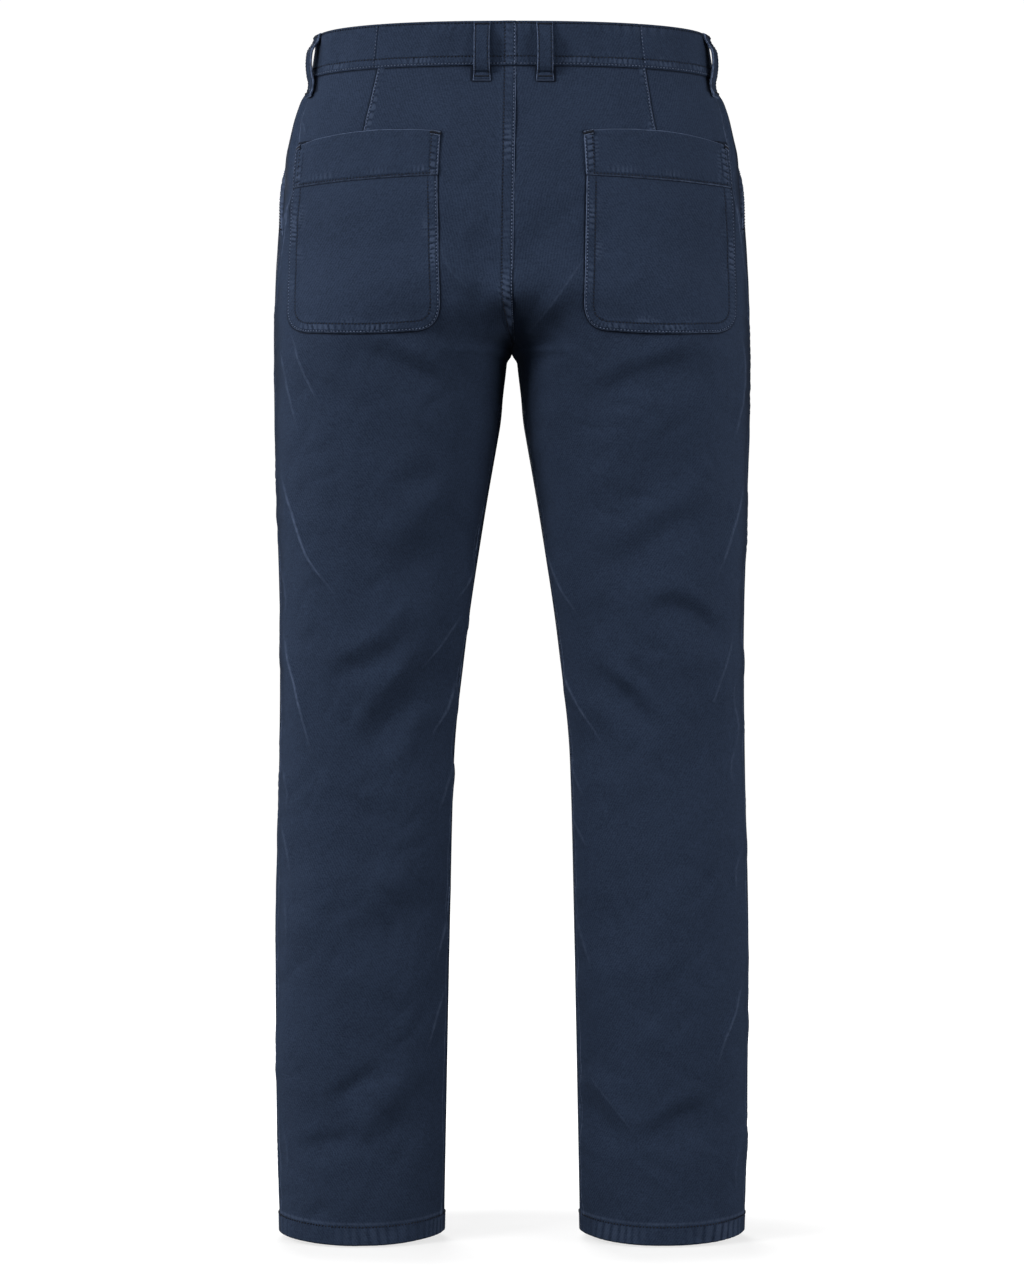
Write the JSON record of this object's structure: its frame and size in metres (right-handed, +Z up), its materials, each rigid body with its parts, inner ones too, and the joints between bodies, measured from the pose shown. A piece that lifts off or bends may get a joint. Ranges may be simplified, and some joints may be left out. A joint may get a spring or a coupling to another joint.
{
  "type": "utility trousers",
  "caption": "Straight-leg cotton trousers, filled out as worn, with a banded waist, belt loops, patch seat pockets and slanted front pockets.",
  "frame": {"origin": "centre of the waist opening at the middle of the waistband's height, where the wearer's waist holds the trousers", "axes": "+Z up, out of the waist opening; -Y towards the front and the fly, +Y towards the seat; +X towards the wearer's left"},
  "size_m": [0.4404, 0.2353, 1.1112],
  "materials": {
    "cotton_twill": "garment-dyed navy cotton twill, matt, lighter along worn seams and edges",
    "button": "satin moulded urea button, near black"
  },
  "bodies": {
    "root": {"back_left": "cotton_twill", "front_left": "cotton_twill", "waistband_back_left": "cotton_twill", "waistband_front_left": "cotton_twill", "back_pocket_left": "cotton_twill", "back_pocket_band_left": "cotton_twill", "front_pocket_facing_left": "cotton_twill", "belt_loop_back_left": "cotton_twill", "belt_loop_side_left": "cotton_twill", "belt_loop_front_left": "cotton_twill", "back_right": "cotton_twill", "front_right": "cotton_twill", "waistband_back_right": "cotton_twill", "waistband_front_right": "cotton_twill", "back_pocket_right": "cotton_twill", "back_pocket_band_right": "cotton_twill", "front_pocket_facing_right": "cotton_twill", "belt_loop_back_right": "cotton_twill", "belt_loop_side_right": "cotton_twill", "belt_loop_front_right": "cotton_twill", "fly_shield": "cotton_twill", "waist_button": "button"}
  },
  "joints": []
}
